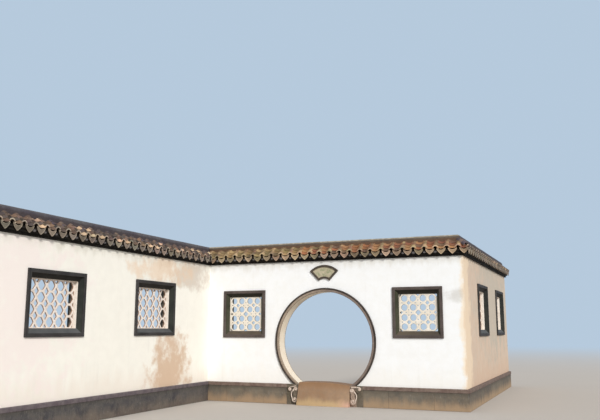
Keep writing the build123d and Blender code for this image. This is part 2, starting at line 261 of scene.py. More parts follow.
def limewash(name, base, patch, warmFoot, smudges):
    # Each smudge is a middle, a reach along each axis, a colour and a strength.
    coat = Finish(name, 0.9, 0.9, 55.0)
    coat.tone = base
    coat.tint("Patches", 0.55, patch)
    coat.tint("Blotches", 0.16, (0.8, 0.77, 0.7))
    coat.tint(coat.effect(heightStain, Strong=0.46, Gone=0.95, Ragged=0.22), 0.5, warmFoot)
    coat.tint(coat.effect(heightStain, Strong=3.08, Gone=2.9, Ragged=0.14), 0.34, (0.62, 0.57, 0.47))
    coat.tint(coat.effect(waterRuns, Density=9.0), 0.12, (0.6, 0.57, 0.5))
    # Most smudges are stains; some are painted light and shade, said where they are listed.
    for middle, reach, markColour, strength in smudges:
        ragged = coat.ramp(coat.noise(2.6, 5.0, 0.65), 0.2, 0.8, -0.55, 0.55)
        near = coat.ramp(coat.math("ADD", coat.away(middle, reach), ragged), 1.1, 0.35)
        coat.tint(near, strength, markColour)
    coat.bump(coat.noise(7.0, 3.0, 0.5, 0.8, stretch=(1.0, 1.0, 1.6)), 0.004, 0.5)  # trowel marks
    return coat.done((0.0012, 0.5))


def plinthStone(name, dark, light, blotch, capDark, capLight, footStrength):
    coat = Finish(name, 0.8, 1.7, 60.0, dark, light)
    joints = coat.effect(slabJoints, Length=0.95, Height=0.355)
    height = coat.axis("Z")
    cap = coat.ramp(height, 0.346, 0.352)
    # Painted shadow: darkest just under the cap and fading downwards, standing for the cap's cast shadow.
    under = coat.times(coat.ramp(height, 0.25, 0.345), coat.math("SUBTRACT", 1.0, cap))
    foot = coat.effect(heightStain, Strong=0.02, Gone=0.24, Ragged=0.09)
    speckle = coat.ramp(coat.noise(34.0, 4.0, 0.7, stretch=(1.0, 1.0, 0.4)), 0.55, 0.72)
    coat.tint(joints["Slab"], 0.35, (0.105, 0.1, 0.098))
    coat.tint("Blotches", 0.45, blotch)
    # the painted shadow under the cap
    coat.tint(under, 0.55, (0.085, 0.078, 0.066))
    coat.tint(foot, footStrength, (0.43, 0.305, 0.195))
    coat.tint(speckle, 0.36, (0.34, 0.32, 0.29))
    coat.tint(cap, 1.0, coat.mix(coat.aged["Blotches"], capDark, capLight))
    coat.wear(5.0, 0.5, (0.36, 0.31, 0.26))
    coat.jointed(joints["Joint"], 0.6, (0.05, 0.045, 0.04), 0.004, 0.8)
    return coat.done((0.0018, 0.6), (0.006, 0.5), (0.72, 0.92))


def greyBrick(name, dark, light, wearTone):
    coat = Finish(name, 0.72, 3.2, 90.0, dark, light)
    joints = coat.effect(slabJoints, Length=0.3, Height=0.27)
    coat.tint(joints["Slab"], 0.22, wearTone)
    coat.tint("Blotches", 0.25, (0.055, 0.05, 0.036))
    coat.wear(9.0, 0.6, wearTone)
    coat.jointed(joints["Joint"], 0.45, (0.03, 0.027, 0.022), 0.0015, 0.5)
    return coat.done((0.001, 0.5), rough=(0.6, 0.85))


def ringBrick(name, bricks=40):
    # The outer band is dark and the inner roll paler, in curved bricks with radial joints; the inner roll is
    # painted sunlit towards the left and painted shaded towards the right.
    coat = Finish(name, 0.68, 3.0, 90.0)
    across, rise = coat.axis("X"), coat.math("SUBTRACT", coat.axis("Z"), plan["ringHigh"])
    squares = coat.math("ADD", coat.math("POWER", across, 2.0), coat.math("POWER", rise, 2.0))
    outer = coat.ramp(coat.math("SQRT", squares), 1.129, 1.134)
    turn = coat.math("FRACT", coat.times(coat.math("ARCTAN2", rise, across), bricks / math.tau))
    joint = coat.ramp(coat.math("ABSOLUTE", coat.math("SUBTRACT", turn, 0.5)), 0.488, 0.498)
    # Painted light and shade: a sunlit and a shaded copy of the roll's brick, mixed across the ring.
    sunlit = coat.mottled((0.34, 0.265, 0.2), (0.44, 0.35, 0.27))
    shaded = coat.mottled((0.205, 0.155, 0.135), (0.28, 0.22, 0.185))
    inner = coat.mix(coat.ramp(across, -0.9, 0.5), sunlit, shaded)
    coat.tone = coat.mix(outer, inner, coat.mottled((0.03, 0.021, 0.018), (0.052, 0.037, 0.032)))
    coat.tint("Blotches", 0.25, (0.1, 0.085, 0.06))
    coat.wear(8.0, 0.45, (0.3, 0.25, 0.2))
    coat.jointed(joint, 0.5, (0.03, 0.025, 0.02), 0.002, 0.6)
    return coat.done((0.0012, 0.5), rough=(0.55, 0.8))


def plainStone(name, light, dark, markColour, roughness=0.75, patch=2.0, grain=70.0, relief=0.003):
    coat = Finish(name, roughness, patch, grain, light, dark)
    coat.tint("Blotches", 0.4, markColour)
    coat.wear(7.0, 0.4, light)
    return coat.done((0.0015, 0.6), (relief, 0.5), (roughness - 0.12, roughness + 0.1))


def traceryLime(name, light, dark, markColour, sides, axis):
    # Limewash on the face, and painted shade on the sides of the openings.
    coat = Finish(name, 0.85, 5.0, 90.0, light, dark)
    coat.tint("Blotches", 0.4, markColour)
    # Painted shade: faces that don't face out are darkened.
    flat = coat.math("ABSOLUTE", coat.vector("DOT_PRODUCT", coat.facing(), axis))
    coat.tint(coat.ramp(flat, 0.97, 0.8), 1.0, sides)
    return coat.done((0.0015, 0.6), (0.002, 0.5))


def thresholdStone(name):
    # Tan dressed stone, warm along its brow and dusty pale at its foot.
    coat = Finish(name, 0.7, 2.2, 80.0, (0.315, 0.195, 0.115), (0.37, 0.245, 0.155))
    dust = coat.mix(coat.ramp(coat.axis("X"), 0.25, 0.62), (0.6, 0.43, 0.235), (0.7, 0.42, 0.32))
    coat.tint("Blotches", 0.4, (0.27, 0.195, 0.135))
    coat.tint(coat.ramp(coat.axis("Z"), 0.3, 0.46), 0.6, (0.265, 0.138, 0.064))
    coat.tint(coat.effect(heightStain, Strong=0.03, Gone=0.2, Ragged=0.06), 0.75, dust)
    coat.wear(5.0, 0.85, (0.66, 0.5, 0.38))
    return coat.done((0.0015, 0.5), (0.004, 0.5), (0.55, 0.8))


def footStone(name):
    # Relief ground painted dark as the shade between the beads, pinkish beside the passage on the right.
    coat = Finish(name, 0.8, 6.0, 80.0, (0.185, 0.15, 0.115), (0.125, 0.105, 0.078))
    across = coat.axis("X")
    beside = coat.times(coat.ramp(across, 0.58, 0.6), coat.ramp(across, 0.75, 0.72))
    coat.tint(beside, 0.8, (0.46, 0.335, 0.265))
    coat.tint("Blotches", 0.45, (0.095, 0.085, 0.055))
    coat.wear(9.0, 0.6, (0.46, 0.38, 0.31))
    return coat.done((0.002, 0.6), (0.006, 0.6))


def splayBrick(name, dark, light, sillDark, sillLight):
    # Painted light: darker where the splay faces down, as painted shade, and paler where it faces up to the
    # sky, as painted sky light.
    coat = Finish(name, 0.75, 3.2, 90.0, dark, light)
    upward = coat.axis("Z", coat.facing())
    coat.tint(coat.ramp(upward, 0.25, 0.6), 1.0, coat.mottled(sillDark, sillLight))
    coat.tint(coat.ramp(upward, -0.25, -0.6), 0.8, (0.018, 0.015, 0.012))
    return coat.done((0.001, 0.5))


def plaqueStone(name):
    # A cream leaf, greenest in its middle.
    coat = Finish(name, 0.6, 5.5, 120.0, (0.47, 0.415, 0.285), (0.57, 0.5, 0.36))
    low, high = nodeBox("fan_plaque_panel")
    away = coat.away(tuple((low + high) / 2), tuple((high - low) / 2 + Vector((0, 1, 0))))
    veins = coat.ramp(coat.noise(9.0, 5.0, 0.65, 1.6), 0.42, 0.66)
    coat.tint(coat.times(veins, coat.ramp(away, 1.05, 0.45)), 0.8, (0.22, 0.275, 0.15))
    return coat.done((0.001, 0.4))


def roofTile(name):
    # Each tile's own colour comes from its attribute, then lichen, soot and dust.
    coat = Finish(name, 0.82, 9.0, 150.0)
    coat.tone = coat.add("ShaderNodeVertexColor", layer_name="tileColour").outputs["Color"]
    coat.tint("Patches", 0.12, (0.32, 0.25, 0.16))
    coat.tint(coat.ramp(coat.noise(5.0, 3.0, 0.6), 0.45, 0.7), 0.45, (0.05, 0.042, 0.04))
    coat.tint(coat.ramp(coat.noise(26.0, 4.0, 0.7), 0.56, 0.68), 0.22, (0.42, 0.37, 0.21))
    coat.wear(14.0, 0.3, (0.5, 0.42, 0.33))
    return coat.done((0.0012, 0.6), (0.002, 0.6), (0.7, 0.92))


def ridgeMortar(name, dark, light, crest, under):
    # Sooty, with a foot of its own tone and a crest painted paler as the light on its top.
    coat = Finish(name, 0.85, 2.4, 70.0, dark, light)
    height = coat.axis("Z")
    coat.tint("Blotches", 0.5, (0.055, 0.05, 0.055))
    coat.tint(coat.effect(waterRuns, Density=14.0), 0.5, (0.035, 0.032, 0.035))
    coat.tint(coat.ramp(height, 3.495, 3.465), 0.7, under)
    # Painted highlight: the crest lightened, in patches.
    patchy = coat.ramp(coat.aged["Blotches"], 0.0, 1.0, 0.45, 0.95)
    coat.tint(coat.ramp(height, 3.505, 3.535), patchy, crest)
    return coat.done((0.002, 0.6), (0.008, 0.6))


# Painted sunlight: a warm sunlit patch where the front wall's end runs on into the return wall.
returnCornerSunlit = ((3.035, 0.28, 1.75), (0.04, 0.42, 6.0), (0.87, 0.7, 0.52), 1.0)
rim = (0.85, 4.0, 90.0, 0.002)  # roughness, patch, grain and relief

# Each row is a maker, the material's name, and the rest in the maker's own order.
recipes = [
    (limewash, "limewash_front", (0.97, 0.986, 1.0), (0.955, 0.965, 0.968), (0.95, 0.93, 0.88), [
        # painted sunlight, warm on the front wall's end beside the return wall
        ((3.04, 0.0, 1.75), (0.11, 1.0, 1.7), (0.95, 0.8, 0.6), 0.75),
        ((2.86, 0.0, 2.28), (0.24, 1.0, 0.2), (0.48, 0.44, 0.38), 0.42),
        returnCornerSunlit,
    ]),
    (limewash, "limewash_wing", (0.99, 0.965, 0.885), (0.975, 0.94, 0.855), (0.88, 0.78, 0.68), [
        ((-2.9, -1.0, 2.8), (1.0, 1.1, 0.36), (0.6, 0.5, 0.41), 0.62),
        ((-2.9, -1.95, 2.86), (1.0, 1.2, 0.36), (0.84, 0.62, 0.43), 0.62),
        ((-2.9, -5.9, 1.9), (1.0, 1.6, 1.7), (0.97, 0.86, 0.82), 0.7),
        # partly a stain and partly the painted shadow of the bush beside the wall
        ((-2.9, -1.5, 0.72), (1.0, 0.85, 0.85), (0.64, 0.42, 0.26), 0.78),
    ]),
    # Painted light: the return wall's tan, darker base is partly dirt and partly the grazing sunlight and
    # shade on it.
    (limewash, "limewash_return", (0.69, 0.53, 0.405), (0.62, 0.495, 0.395), (0.66, 0.46, 0.33), [
        # painted shade: this grey smudge stands for the shade of trees further along; the corner keeps its
        # painted sunlit patch
        ((3.035, 4.3, 2.3), (1.0, 3.4, 1.5), (0.46, 0.46, 0.4), 0.5),
        returnCornerSunlit,
    ]),
    (plinthStone, "plinth_stone", (0.135, 0.118, 0.098), (0.215, 0.19, 0.15), (0.245, 0.195, 0.14),
     (0.15, 0.102, 0.086), (0.225, 0.168, 0.138), 0.95),
    (plinthStone, "wing_plinth_stone", (0.046, 0.047, 0.06), (0.122, 0.113, 0.108), (0.175, 0.156, 0.136),
     (0.11, 0.088, 0.098), (0.165, 0.138, 0.142), 0.18),
    (ringBrick, "ring_brick"),
    (greyBrick, "frame_brick", (0.062, 0.046, 0.042), (0.1, 0.078, 0.072), (0.2, 0.165, 0.145)),
    (greyBrick, "side_frame_brick", (0.021, 0.019, 0.02), (0.042, 0.038, 0.04), (0.105, 0.1, 0.1)),
    (greyBrick, "fan_border_brick", (0.055, 0.042, 0.032), (0.08, 0.064, 0.05), (0.17, 0.14, 0.11)),
    # painted shade: near black, for the deep shade under the eave
    (greyBrick, "eave_brick", (0.008, 0.007, 0.007), (0.014, 0.012, 0.011), (0.032, 0.028, 0.024)),
    (splayBrick, "splay_brick", (0.036, 0.038, 0.022), (0.06, 0.06, 0.036),
     (0.088, 0.07, 0.054), (0.118, 0.092, 0.066)),
    (splayBrick, "side_splay_brick", (0.018, 0.02, 0.017), (0.032, 0.034, 0.028),
     (0.078, 0.082, 0.084), (0.11, 0.112, 0.112)),
    (footStone, "foot_stone"),
    (thresholdStone, "threshold_stone"),
    (plaqueStone, "plaque_stone"),
    (plainStone, "lining_stone", (0.99, 0.9, 0.75), (0.96, 0.85, 0.69), (0.88, 0.75, 0.59), 0.7),
    # painted highlight: the beads are pale to stand for the light on the carved scrolls
    (plainStone, "scroll_bead", (0.84, 0.72, 0.63), (0.66, 0.53, 0.45), (0.42, 0.34, 0.26), 0.72, 5.0),
    (plainStone, "rim_front", (0.9, 0.86, 0.78), (0.84, 0.78, 0.68), (0.66, 0.6, 0.5), *rim),
    (plainStone, "rim_inner", (0.2, 0.17, 0.14), (0.13, 0.11, 0.09), (0.08, 0.07, 0.055), *rim),
    (plainStone, "rim_wing", (0.92, 0.87, 0.8), (0.86, 0.79, 0.71), (0.64, 0.56, 0.48), *rim),
    (traceryLime, "tracery_front", (0.95, 0.9, 0.82), (0.88, 0.81, 0.7), (0.66, 0.58, 0.45),
     (0.17, 0.13, 0.09), (0, 1, 0)),
    (traceryLime, "tracery_wing", (0.95, 0.88, 0.82), (0.86, 0.77, 0.7), (0.62, 0.5, 0.41),
     (0.4, 0.255, 0.175), (1, 0, 0)),
    (roofTile, "roof_tile"),
    # painted shade: near black, for the shade in the hollows under the tiles
    (plainStone, "bedding_mortar", (0.03, 0.026, 0.023), (0.02, 0.018, 0.016), (0.012, 0.011, 0.01), 0.9),
    (plainStone, "mortar_lump", (0.17, 0.155, 0.15), (0.11, 0.1, 0.1), (0.06, 0.055, 0.055), 0.9),
    (ridgeMortar, "ridge_wing", (0.075, 0.064, 0.08), (0.125, 0.115, 0.118), (0.13, 0.118, 0.118),
     (0.06, 0.046, 0.048)),
    (ridgeMortar, "ridge_front", (0.115, 0.085, 0.062), (0.15, 0.115, 0.082), (0.5, 0.44, 0.34),
     (0.135, 0.072, 0.04)),
]
finishes = {name: maker(name, *colours) for maker, name, *colours in recipes}
for name in ("eave_brick", "bedding_mortar"):  # near black and without sheen: painted shade under the tiles
    finishes[name].node_tree.nodes["Principled BSDF"].inputs["Specular IOR Level"].default_value = 0.05
print("finishes made:", len(finishes))


# Pieces

def addObject(name, data):
    made = bpy.data.objects.new(name, data)
    bpy.context.scene.collection.objects.link(made)
    return made


def finishPiece(bm, name, finish, replaced, smoothAngle=30.0):
    mesh = bpy.data.meshes.new(name)
    bm.to_mesh(mesh)
    bm.free()
    mesh.polygons.foreach_set("use_smooth", [True] * len(mesh.polygons))
    mesh.set_sharp_from_angle(angle=math.radians(smoothAngle))
    mesh.materials.append(finishes[finish])
    piece = addObject(name, mesh)
    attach(piece, "root")
    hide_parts(replaced)
    return piece


def paintNode(name, finish):
    nodes[name].data.materials.clear()
    nodes[name].data.materials.append(finishes[finish])


softening = {"merge": 1e-5, "flat": math.radians(0.5), "sharp": math.radians(28), "smoothAngle": 22.0}


def softened(node, name, finish, radius, segments=2):
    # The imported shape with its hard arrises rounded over.
    bm = bmesh.new()
    bm.from_mesh(nodes[node].data)
    bmesh.ops.remove_doubles(bm, verts=bm.verts, dist=softening["merge"])
    bmesh.ops.dissolve_limit(bm, angle_limit=softening["flat"], verts=bm.verts, edges=bm.edges)
    sharp = [e for e in bm.edges if len(e.link_faces) == 2 and e.calc_face_angle() > softening["sharp"]]
    bmesh.ops.bevel(
        bm, geom=sharp, offset=radius, offset_type="OFFSET", affect="EDGES",
        segments=segments, profile=0.5, material=-1, clamp_overlap=True,
    )
    return finishPiece(bm, name, finish, node, softening["smoothAngle"])


def faceOut(bm, merge=0.0):
    if merge:
        bmesh.ops.remove_doubles(bm, verts=bm.verts, dist=merge)
    bmesh.ops.recalc_face_normals(bm, faces=bm.faces)


def sawn(bm, point, normal):
    # What lies behind a plane goes, and the cut is closed.
    cut = bmesh.ops.bisect_plane(
        bm, geom=bm.verts[:] + bm.edges[:] + bm.faces[:], plane_co=point, plane_no=normal, clear_inner=True,
    )
    rim = [e for e in only(bmesh.types.BMEdge, cut["geom_cut"]) if e.is_boundary]
    bmesh.ops.holes_fill(bm, edges=rim, sides=0)


def only(kind, geometry):
    return [part for part in geometry if isinstance(part, kind)]


def closedLoop(bm, places):
    points = [bm.verts.new(place) for place in places]
    return points, [bm.edges.new(pair) for pair in zip(points, points[1:] + points[:1])]


def addCurve(bm, loops, cyclic, **settings):
    # Straight-sided curves, given a bevel or a thickness and made mesh.
    curve = bpy.data.curves.new("drawn", "CURVE")
    for name, value in settings.items():
        setattr(curve, name, value)
    for loop in loops:
        spline = curve.splines.new("POLY")
        spline.points.add(len(loop) - 1)
        for point, place in zip(spline.points, loop):
            point.co = (*place, 1)
        spline.use_cyclic_u = cyclic
    drawn = bpy.data.objects.new("drawn", curve)
    bm.from_mesh(bpy.data.meshes.new_from_object(drawn))
    bpy.data.objects.remove(drawn)


# Walls, plinths and eave courses

walls = {
    "gate_bay": "limewash_front", "front_left": "limewash_front", "front_right": "limewash_front",
    "wing": "limewash_wing", "return": "limewash_return",
}
courses = {"plinthArris": 0.009, "eaveArris": 0.006}
for run, finish in walls.items():
    paintNode("wall_" + run, finish)
for run in ("front_left", "front_right", "wing", "return"):
    stone = "wing_plinth_stone" if run == "wing" else "plinth_stone"
    softened("plinth_" + run, "plinth_stones_" + run, stone, courses["plinthArris"])
for run in ("front", "wing", "return"):
    softened("eave_course_" + run, "eave_bricks_" + run, "eave_brick", courses["eaveArris"])
print("walls, plinths and eave courses dressed")


# Moon ring, lining, foot stones and threshold

ring = {
    "steps": 168,
    "standing": 0.43,  # where it ends on the foot stones
    "section": [  # radius and how far it stands out from the wall's face
        (1.08, -0.01), (1.08, 0.019), (1.083, 0.025), (1.09, 0.028), (1.122, 0.028),
        (1.128, 0.025), (1.131, 0.02), (1.134, 0.021), (1.136, 0.036), (1.14, 0.04),
        (1.158, 0.04), (1.163, 0.038), (1.165, 0.033), (1.165, -0.01),
    ],
}
gateStones = {"threshold": 0.016, "foot": 0.01, "plaque": 0.006}  # how far their arrises are rounded


def moonRing(side, faceY, outward):
    bm = bmesh.new()
    middle = (0, 0, plan["ringHigh"])
    section = [(r, faceY + outward * out, middle[2]) for r, out in ring["section"]]
    points, edges = closedLoop(bm, section)
    bmesh.ops.spin(
        bm, geom=points + edges, cent=middle, axis=(0, 1, 0),
        angle=math.tau, steps=ring["steps"], use_merge=True,
    )
    faceOut(bm, 1e-6)
    sawn(bm, (0, 0, ring["standing"]), (0, 0, 1))
    faceOut(bm)
    finishPiece(bm, "gate_ring_" + side, "ring_brick", "moon_ring_" + side, 40.0)


moonRing("front", 0.0, -1)
moonRing("back", 2 * plan["halfWall"], 1)
paintNode("moon_lining", "lining_stone")
softened("threshold", "threshold_hump", "threshold_stone", gateStones["threshold"], 3)
for side in ("left", "right"):
    softened("foot_stone_" + side, "scroll_foot_" + side, "foot_stone", gateStones["foot"])


beads = {
    "radius": 0.0115,
    "sunk": 0.003,
    "low": (0.664, 0.112, 0.06, 0.018),  # across, up, outer and inner radius
    "high": (0.64, 0.33, 0.042, 0.014),
    "outer": {"left": (0.772, 0.325, 0.04, 0.012), "right": (0.806, 0.366, 0.036, 0.012)},
    "turns": {"low": (20, -430), "high": (-10, 420), "outer": (90, -400)},  # start and turn in degrees
    "back": [(0.74, 0.175), (0.746, 0.225), (0.73, 0.272), (0.7, 0.305)],
    "knob": (0.7, 0.303),
    "bar": (0.632, 0.398),
    "curlBall": 0.016,  # the balls in the curls, in the outer curl and on the knob
    "outerBall": 0.022,
    "knobBall": 0.021,
}


def spiral(curl, start, turn, steps=26, tightening=0.8):
    across, up, wide, narrow = curl
    made = []
    for step in range(steps + 1):
        t = step / steps
        a = math.radians(start + turn * t)
        r = wide + (narrow - wide) * t ** tightening
        made.append((across + r * math.cos(a), up + r * math.sin(a)))
    return made


def scrollBeads(name, side):
    # One line bulges outwards between two curls, and a third curl ends the bar.
    outer, turns = beads["outer"][name], beads["turns"]
    low = spiral(beads["low"], *turns["low"])
    high = spiral(beads["high"], *turns["high"])
    paths = [low[::-1] + beads["back"] + high, [beads["bar"]] + spiral(outer, *turns["outer"])]
    balls = [
        (beads["low"][:2], beads["curlBall"]), (beads["high"][:2], beads["curlBall"]),
        (outer[:2], beads["outerBall"]), (beads["knob"], beads["knobBall"]),
    ]
    node = "foot_stone_" + name
    bm = bmesh.new()
    for face, outward in zip(nodeBox(node), (-1, 1)):
        level = face.y - outward * beads["sunk"]
        for path in paths:
            addCurve(
                bm, [[(side * x, level, z) for x, z in path]], False, dimensions="3D",
                bevel_depth=beads["radius"], bevel_resolution=1, use_fill_caps=True,
            )
        for (x, z), radius in balls:
            shape = Matrix.Translation((side * x, level, z))
            bmesh.ops.create_uvsphere(bm, u_segments=8, v_segments=6, radius=radius, matrix=shape)
    faceOut(bm, 1e-6)
    finishPiece(bm, "scroll_beads_" + name, "scroll_bead", node, 60.0)


scrollBeads("left", -1)
scrollBeads("right", 1)
softened("fan_plaque_frame", "fan_border", "fan_border_brick", gateStones["plaque"])
paintNode("fan_plaque_panel", "plaque_stone")
print("moon gate dressed")


# Window frames, and behind them a plastered rim with thin tracery across it

frames = {"arris": 0.007, "band": 0.064, "flat": 0.97}  # the raised band's width, and what counts as flat
panels = {
    "side": 0.127,  # from the hole in the masonry to the opening in the rim
    "head": 0.145,
    "thickness": 0.026,
    "arris": 0.004,
    "rimArris": 0.001,
    "frontDepth": 0.064,  # from the wall's face to the tracery
    "sideDepth": 0.127,
}
honeycomb = {
    "columns": 5, "rows": 4, "flat": 0.36, "bar": 0.04, "border": 0.014,
    "rounding": 0.02, "smallRounding": 0.008,
}
flowers = {
    "eyeWide": 0.0715, "eyeHigh": 0.07, "eyeRounding": 0.03, "near": 0.105, "far": 0.293,
    "petalReach": 0.056, "edgeBudIn": 0.043, "notch": 0.046, "corner": 0.07, "outlineRounding": 0.014,
    # half size and rounding of each lozenge
    "bud": (0.041, 0.01), "heart": (0.058, 0.01), "petal": (0.014, 0.008), "edgeBud": (0.029, 0.007),
}


def neighbours(corners):
    corners = [Vector(c) for c in corners]
    return zip(corners[-1:] + corners[:-1], corners, corners[1:] + corners[:1])


def rounded(corners, cut, steps=3, share=0.48):
    # Each corner gives way to a short curve, one cut long on each side or that share of the side.
    loop = []
    for before, corner, after in neighbours(corners):
        ends = []
        for other in (before, after):
            reach = min(cut, share * (other - corner).length)
            ends.append(corner + (other - corner).normalized() * reach)
        for step in range(steps + 1):
            t = step / steps
            loop.append(ends[0] * (1 - t) ** 2 + corner * 2 * t * (1 - t) + ends[1] * t * t)
    return loop


def insetCorners(corners, distance):
    # A convex outline with every side moved inwards by the same distance.
    middle = sum((Vector(c) for c in corners), Vector((0, 0))) / len(corners)
    inside = []
    for before, corner, after in neighbours(corners):
        sides = [(corner - before).normalized(), (after - corner).normalized()]
        normals = [Vector((-d.y, d.x)) for d in sides]
        normals = [n if n.dot(middle - corner) > 0 else -n for n in normals]
        inside.append(corner + (normals[0] + normals[1]) * distance / (1 + normals[0].dot(normals[1])))
    return inside


def moved(loop, x, y):
    return [Vector((p[0] + x, p[1] + y)) for p in loop]


def lozenge(wide, high):
    return [(wide, 0), (0, high), (-wide, 0), (0, -high)]


def rectangle(wide, high):
    return [(-wide / 2, -high / 2), (wide / 2, -high / 2), (wide / 2, high / 2), (-wide / 2, high / 2)]


def lozengeBy(border, wide, high, sideX, sideY):
    # The part of a lozenge that is left where the panel's edge runs through its middle.
    k = wide * (1 - border / high)
    m = high * (1 - border / wide)
    x, y = -sideX * border, -sideY * border
    if sideX and sideY:
        return [(x, y), (-sideX * k, y), (x, -sideY * m)]
    if sideY:
        return [(-k, y), (k, y), (0, -sideY * high)]
    if sideX:
        return [(x, -m), (x, m), (-sideX * wide, 0)]
    return lozenge(wide, high)


def honeycombHoles(width, height):
    columns, rows, bar = honeycomb["columns"], honeycomb["rows"], honeycomb["bar"]
    cellX, cellY = width / columns, height / rows
    halfX, halfY, flat = cellX / 2, cellY / 2, honeycomb["flat"] * cellX / 2
    corners = [(-halfX, 0), (-flat, -halfY), (flat, -halfY), (halfX, 0), (flat, halfY), (-flat, halfY)]
    hexagon = rounded(insetCorners(corners, bar / 2), honeycomb["rounding"])
    small = insetCorners(lozenge(halfX - flat, halfY), bar / 2)
    wide, high = small[0].x, small[1].y
    holes = []
    for column in range(columns):
        for row in range(rows):
            holes.append(moved(hexagon, (column + 0.5) * cellX - width / 2, (row + 0.5) * cellY - height / 2))
    for column in range(columns + 1):
        for row in range(rows + 1):
            sideX = (column == columns) - (column == 0)
            sideY = (row == rows) - (row == 0)
            cut = lozengeBy(honeycomb["border"], wide, high, sideX, sideY)
            cut = rounded(cut, honeycomb["smallRounding"], 2)
            holes.append(moved(cut, column * cellX - width / 2, row * cellY - height / 2))
    return rectangle(width, height), holes


def flowerHoles(width, height):
    near, far, reach = flowers["near"], flowers["far"], flowers["petalReach"]
    group = (near + far) / 2
    wide, high = flowers["eyeWide"], flowers["eyeHigh"] / math.cos(math.radians(30)) ** 0.5
    turns = [math.radians(30 + 60 * k) for k in range(6)]
    eye = rounded([(wide * math.cos(a), high * math.sin(a)) for a in turns], flowers["eyeRounding"])
    heart, bud, petal, edgeBud = (
        rounded(lozenge(half, half), cut, 2)
        for half, cut in (flowers[part] for part in ("heart", "bud", "petal", "edgeBud"))
    )
    holes = [heart]
    for signX in (-1, 1):
        holes.append(moved(edgeBud, signX * (width / 2 - flowers["edgeBudIn"]), 0))
        for signY in (-1, 1):
            holes.append(moved(bud, signX * group, signY * group))
            holes.append(moved(petal, signX * (2 * group - reach), signY * group))
            holes += [moved(eye, signX * x, signY * y) for x in (near, far) for y in (near, far)]
    for x, y in lozenge(group, group):
        holes += [moved(petal, x + petalX, y + petalY) for petalX, petalY in lozenge(reach, reach)]
    sideX, sideY, corner, notch = width / 2, height / 2, flowers["corner"], flowers["notch"]
    quarter = [
        (sideX, 0), (sideX, sideY - corner), (sideX - corner, sideY), (notch, sideY), (0, sideY - notch),
    ]
    upper = quarter[1:] + [(-x, y) for x, y in reversed(quarter[1:-1])]
    return rounded(upper + [(-x, -y) for x, y in upper], flowers["outlineRounding"]), holes


def piercedPlate(outline, holes, thickness, arris):
    # A flat outline with its holes, given thickness and small rounded arrises.
    bm = bmesh.new()
    loops = [[(x, y, 0) for x, y in loop] for loop in (outline, *holes)]
    addCurve(
        bm, loops, True, dimensions="2D", fill_mode="BOTH", extrude=thickness / 2 - arris,
        bevel_depth=arris, bevel_resolution=1, offset=-arris,
    )
    faceOut(bm, 1e-6)
    return bm


def splayTone(piece, node, front):
    # Every face inside the raised band that doesn't lie flat takes the splay's finish.
    acrossAxes, depthAxis = ((0, 2), 1) if front else ((1, 2), 0)
    piece.data.materials.append(finishes["splay_brick" if front else "side_splay_brick"])
    low, high = nodeBox(node)
    for face in piece.data.polygons:
        middle = face.center
        inside = min(min(middle[axis] - low[axis], high[axis] - middle[axis]) for axis in acrossAxes)
        if inside > frames["band"] and abs(face.normal[depthAxis]) < frames["flat"]:
            face.material_index = 1


def windowPanel(place, front):
    # Panels lie in walls that face the viewer's side: -Y at the front, +X at the wing and return.
    node = "window_panel_" + place
    low, high = nodeBox(node)
    middle, size = (low + high) / 2, high - low
    right, outward = ((1, 0, 0), Vector((0, -1, 0))) if front else ((0, 1, 0), Vector((1, 0, 0)))
    turned = Matrix((right, (0, 0, 1), outward)).transposed().to_4x4()
    wide, deep = (size.x, size.y) if front else (size.y, size.x)
    opening = (wide - 2 * panels["side"], size.z - 2 * panels["head"])
    outline, holes = (flowerHoles if front else honeycombHoles)(*opening)
    rim = (rectangle(wide, size.z), [rectangle(*opening)], deep / 2, panels["rimArris"])
    tracery = (outline, holes, panels["thickness"], panels["arris"])
    depth = panels["frontDepth" if front else "sideDepth"] + panels["thickness"] / 2
    side = "front" if front else "wing"
    # The rim is pale before the tracery and dark behind it.
    for name, plate, shift, finish in (
        ("window_rim_" + place, rim, deep / 4, "rim_" + side),
        ("window_rim_" + place + "_inner", rim, -deep / 4, "rim_inner"),
        ("tracery_" + place, tracery, plan["halfWall"] - depth, "tracery_" + side),
    ):
        bm = piercedPlate(*plate)
        bmesh.ops.transform(bm, matrix=Matrix.Translation(middle + outward * shift) @ turned, verts=bm.verts)
        finishPiece(bm, name, finish, node)


for place in ("front_left", "front_right", "wing_1", "wing_2", "return_1", "return_2"):
    front = "front" in place
    brick = "frame_brick" if front else "side_frame_brick"
    for face in (place, place + "_back"):
        node = "window_frame_" + face
        splayTone(softened(node, "frame_moulding_" + face, brick, frames["arris"]), node, front)
    windowPanel(place, front)
print("windows dressed")


# Tiled coping

